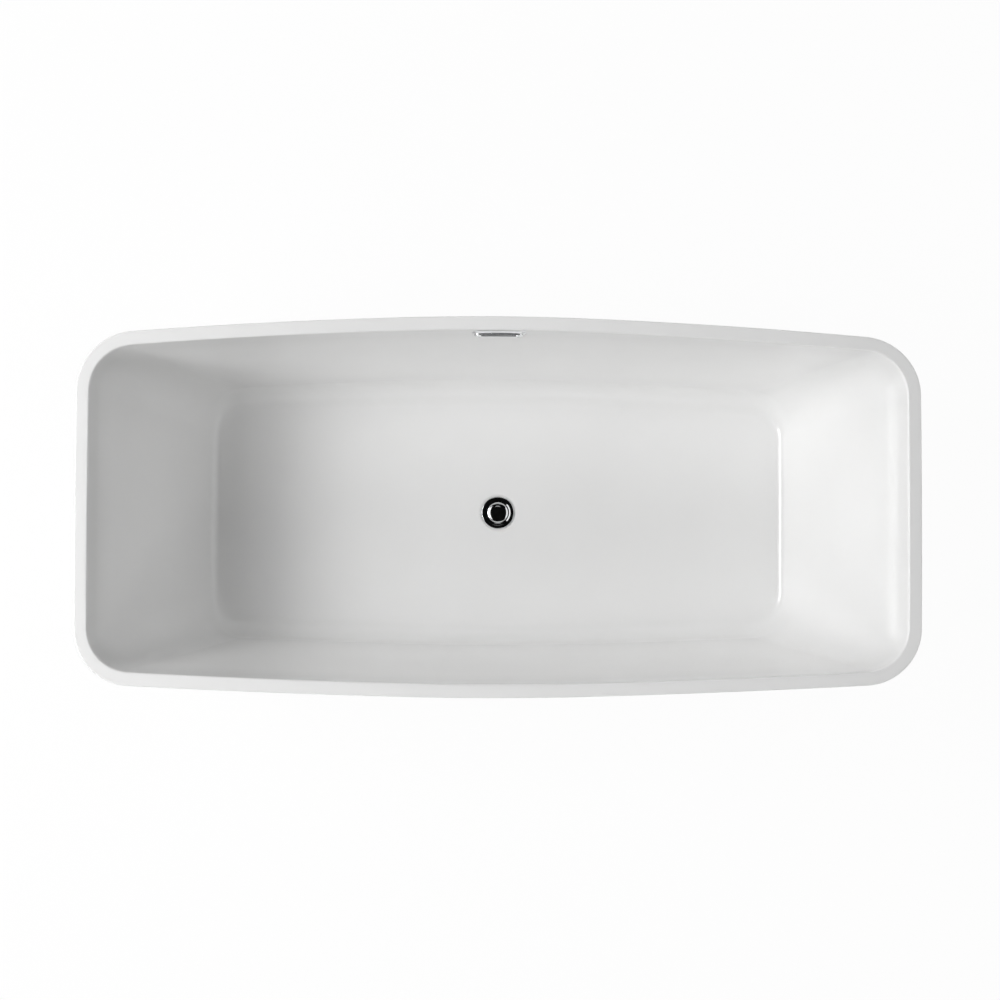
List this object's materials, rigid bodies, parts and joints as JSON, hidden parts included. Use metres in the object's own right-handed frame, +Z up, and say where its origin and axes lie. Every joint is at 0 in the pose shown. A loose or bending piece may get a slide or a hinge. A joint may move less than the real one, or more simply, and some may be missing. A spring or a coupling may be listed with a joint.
{
  "type": "freestanding bathtub",
  "caption": "Freestanding double-walled acrylic bathtub: bowed rounded-rectangle rim, sloping backrests, central pop-up waste, slot overflow and levelling feet on a steel frame.",
  "frame": {"origin": "on the floor, under the middle of the tub", "axes": "+Z up, +X along the tub, +Y towards the overflow side"},
  "size_m": [1.6998, 0.766, 0.58],
  "materials": {
    "white_acrylic": "high gloss cast acrylic",
    "chrome": "polished chrome plate",
    "steel_tube": "black powder-coated steel tube",
    "zinc_steel": "bright zinc-plated steel",
    "stainless": "stainless steel",
    "rubber": "matt black rubber",
    "chipboard": "resin-sealed chipboard",
    "white_pvc": "satin white PVC",
    "acetal": "natural white acetal"
  },
  "bodies": {
    "tub": {"basin": "white_acrylic", "skirt": "white_acrylic", "skirt_brackets": "zinc_steel", "bracket_screws": "zinc_steel", "floor_board": "chipboard", "frame_rail_front": "steel_tube", "frame_rail_back": "steel_tube", "frame_cross_1": "steel_tube", "frame_cross_2": "steel_tube", "frame_cross_3": "steel_tube", "foot_nuts": "zinc_steel", "drain_washer": "rubber", "drain_flange": "chrome", "drain_lower_washer": "rubber", "waste_body": "white_pvc", "stopper_cartridge": "acetal", "stopper_spring": "stainless", "overflow_trim": "chrome", "overflow_gasket": "rubber", "overflow_duct": "white_pvc", "overflow_duct_seal": "rubber", "overflow_boot": "white_pvc", "overflow_pipe": "white_pvc", "pipe_clip": "zinc_steel"},
    "stopper": {"stopper_cap": "chrome", "stopper_seal": "rubber", "stopper_stem": "stainless"},
    "foot_1": {"foot_stud_1": "zinc_steel", "foot_pad_1": "rubber"},
    "foot_2": {"foot_stud_2": "zinc_steel", "foot_pad_2": "rubber"},
    "foot_3": {"foot_stud_3": "zinc_steel", "foot_pad_3": "rubber"},
    "foot_4": {"foot_stud_4": "zinc_steel", "foot_pad_4": "rubber"}
  },
  "joints": [
    {"name": "stopper_lift", "type": "slide", "parent": "tub", "child": "stopper", "axis": [0, 0, 1], "range_m": [0, 0.009], "deforming": ["stopper_spring"]},
    {"name": "foot_1_level", "type": "slide", "parent": "tub", "child": "foot_1", "axis": [0, 0, -1], "range_m": [0, 0.025]},
    {"name": "foot_2_level", "type": "slide", "parent": "tub", "child": "foot_2", "axis": [0, 0, -1], "range_m": [0, 0.025]},
    {"name": "foot_3_level", "type": "slide", "parent": "tub", "child": "foot_3", "axis": [0, 0, -1], "range_m": [0, 0.025]},
    {"name": "foot_4_level", "type": "slide", "parent": "tub", "child": "foot_4", "axis": [0, 0, -1], "range_m": [0, 0.025]}
  ]
}
